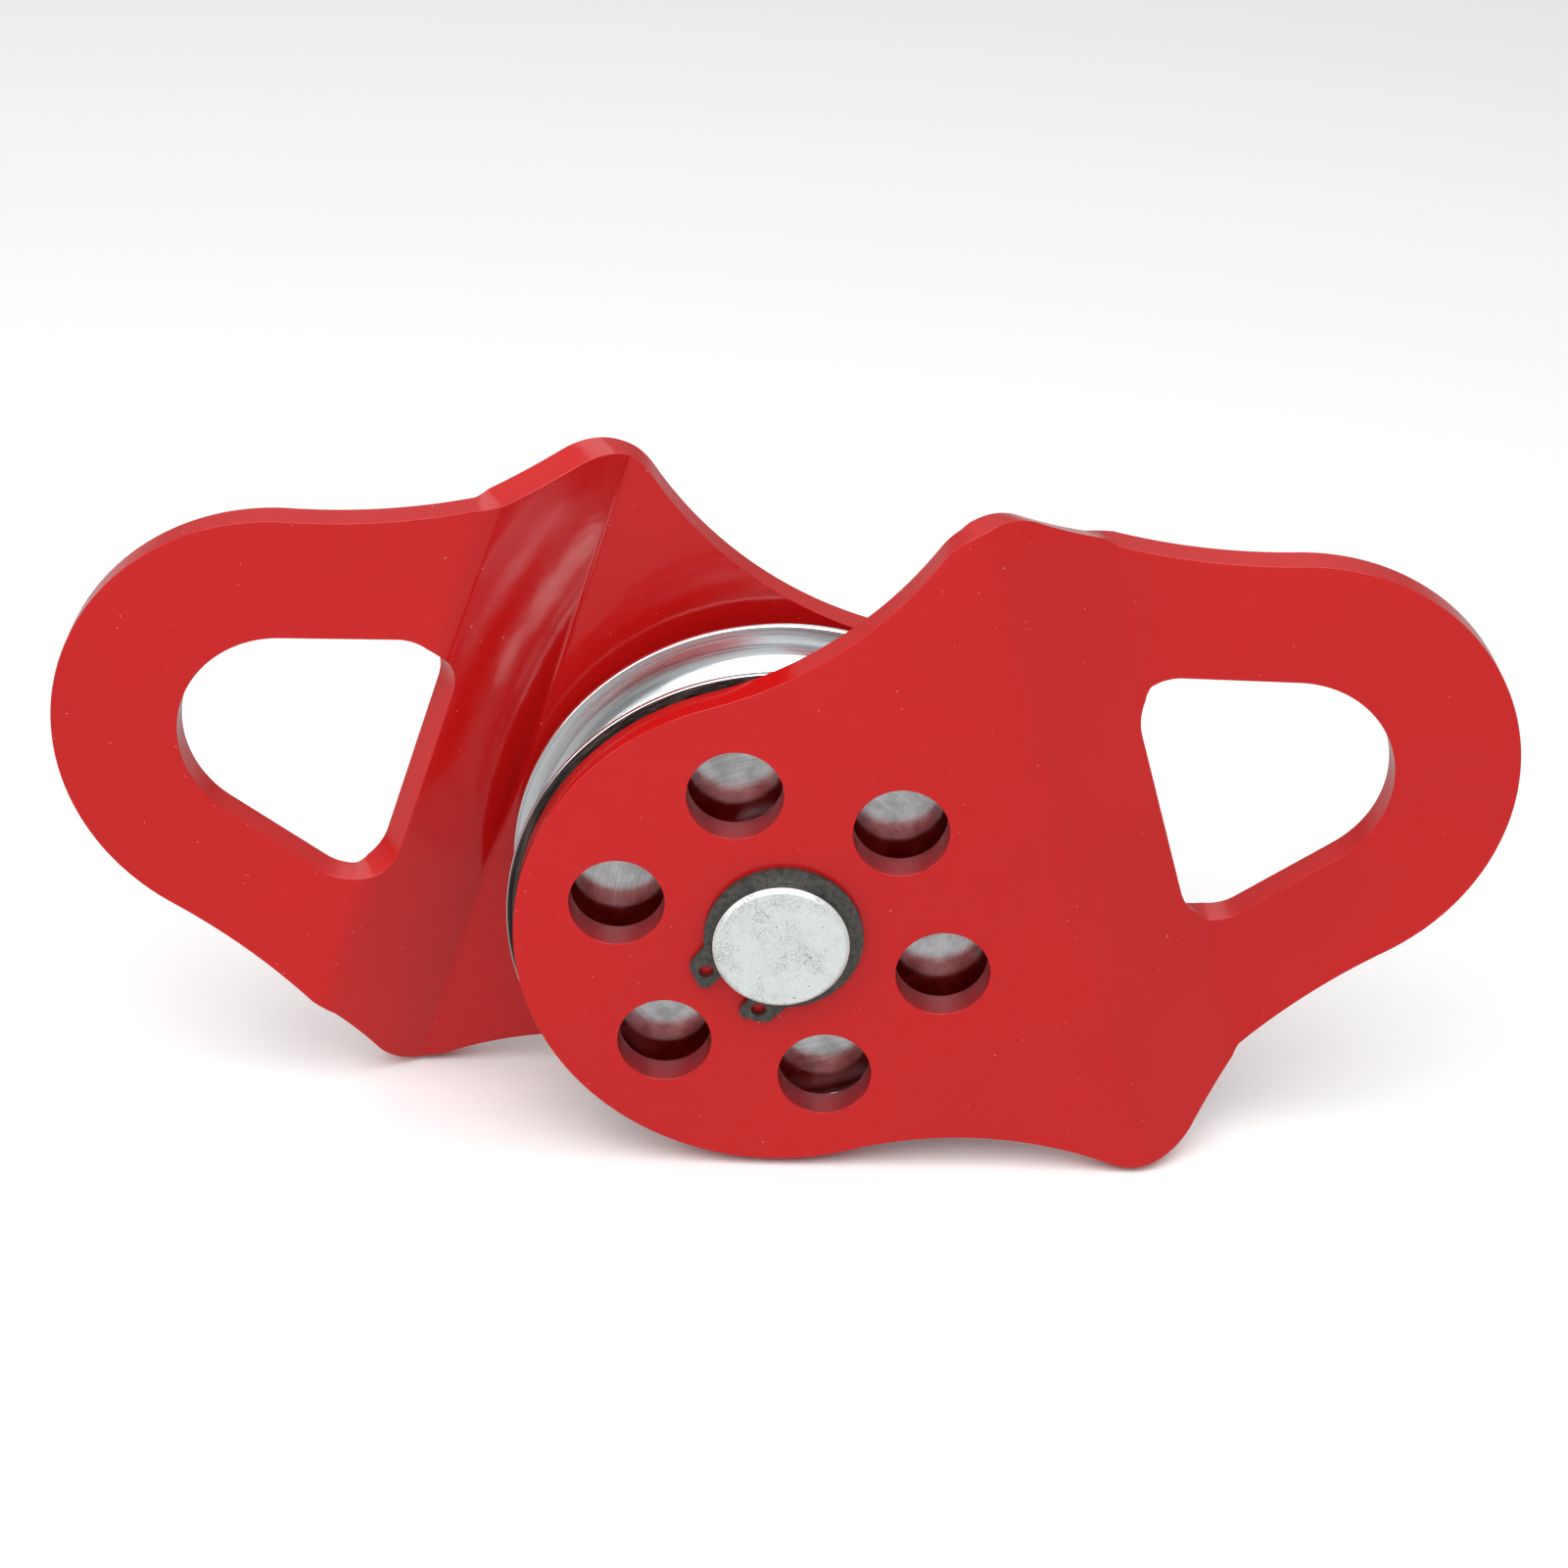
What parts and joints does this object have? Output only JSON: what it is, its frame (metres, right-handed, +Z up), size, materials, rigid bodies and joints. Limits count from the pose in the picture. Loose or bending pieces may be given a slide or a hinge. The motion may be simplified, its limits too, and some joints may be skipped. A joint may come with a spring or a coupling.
{
  "type": "rope pulley",
  "caption": "Swing-cheek rope pulley block: a grooved sheave on a pin between joggled side plates with shackle eyes.",
  "frame": {"origin": "on the pin's axis, midway between the two side plates", "axes": "+Y along the pin from the front plate to the rear one, +Z up, front plate's eye towards +X"},
  "size_m": [0.2682, 0.047, 0.1328],
  "materials": {
    "red_coat": "glossy red powder coat on steel plate",
    "zinc_steel": "turned and zinc plated steel",
    "bronze": "plain bronze",
    "pin_steel": "zinc plated steel, lightly scratched",
    "spring_steel": "phosphated spring steel",
    "washer_steel": "plain steel"
  },
  "bodies": {
    "front_cheek": {"front_side_plate": "red_coat"},
    "rear_cheek": {"rear_side_plate": "red_coat"},
    "pin": {"centre_pin": "pin_steel", "front_retaining_ring": "spring_steel", "rear_retaining_ring": "spring_steel", "front_shim_washer": "washer_steel", "rear_spacer_ring": "washer_steel"},
    "wheel": {"sheave": "zinc_steel", "sheave_bushing": "bronze"}
  },
  "joints": [
    {"name": "pin_turn", "type": "hinge", "parent": "front_cheek", "child": "pin", "pos_m": [0, 0, 0], "axis": [0, 1, 0], "continuous": true},
    {"name": "sheave_spin", "type": "hinge", "parent": "pin", "child": "wheel", "pos_m": [0, 0, 0], "axis": [0, 1, 0], "continuous": true},
    {"name": "rear_cheek_swing", "type": "hinge", "parent": "pin", "child": "rear_cheek", "pos_m": [0, 0, 0], "axis": [0, 1, 0], "continuous": true}
  ]
}
